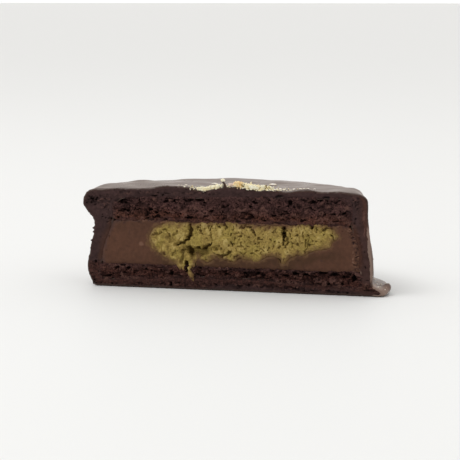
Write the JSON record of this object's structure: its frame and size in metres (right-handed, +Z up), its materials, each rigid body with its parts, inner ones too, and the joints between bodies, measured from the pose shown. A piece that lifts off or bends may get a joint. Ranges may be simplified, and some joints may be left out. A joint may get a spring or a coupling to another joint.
{
  "type": "half alfajor cookie",
  "caption": "Half of a round sandwich cookie in a dark chocolate coat, cut straight so that its biscuits, ganache filling and pistachio core show.",
  "frame": {"origin": "middle of the bounding box on the surface the cookie rests on", "axes": "+X along the cut face from its left end to its right end, +Y from the cut face towards the round back, +Z up"},
  "size_m": [0.077, 0.0362, 0.0257],
  "materials": {
    "coating": "satin dark chocolate",
    "biscuit": "porous dark cocoa biscuit",
    "ganache": "smooth knife-cut chocolate ganache",
    "pistachio": "crumbly pistachio paste"
  },
  "bodies": {
    "root": {"coating": "coating", "biscuit_bottom": "biscuit", "ganache": "ganache", "pistachio": "pistachio", "biscuit_top": "biscuit"}
  },
  "joints": []
}
